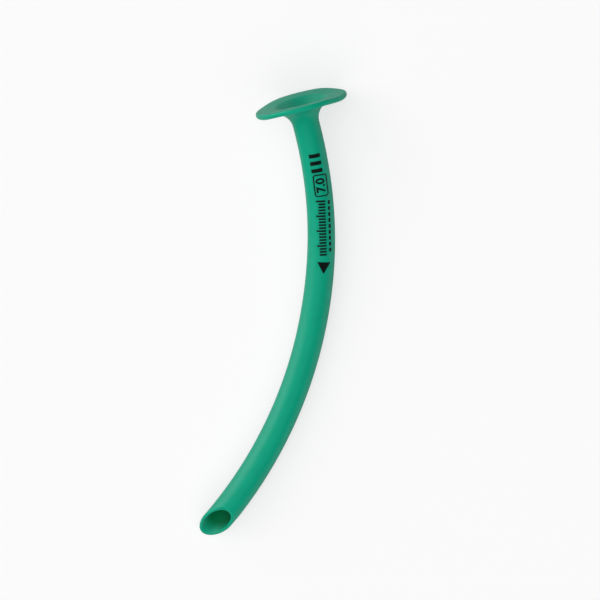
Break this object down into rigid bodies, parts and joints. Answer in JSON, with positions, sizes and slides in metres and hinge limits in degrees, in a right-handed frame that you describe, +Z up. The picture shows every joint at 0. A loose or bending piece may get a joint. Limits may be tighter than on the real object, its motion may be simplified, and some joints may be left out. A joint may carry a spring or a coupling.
{
  "type": "nasopharyngeal airway",
  "caption": "Soft curved nasal airway tube moulded in one piece, with a round trumpet flange at the mouth end and a slanted, rounded tip; it lies on its side.",
  "frame": {"origin": "on the table, under the middle of the bounding box of the airway as it lies on its side", "axes": "+Z up from the table; +Y the way out of the mouth, seen from above; +X towards the outside of the bend"},
  "size_m": [0.0814, 0.14, 0.0303],
  "materials": {
    "soft_pvc": "satin"
  },
  "bodies": {
    "root": {"airway": "soft_pvc"}
  },
  "joints": []
}
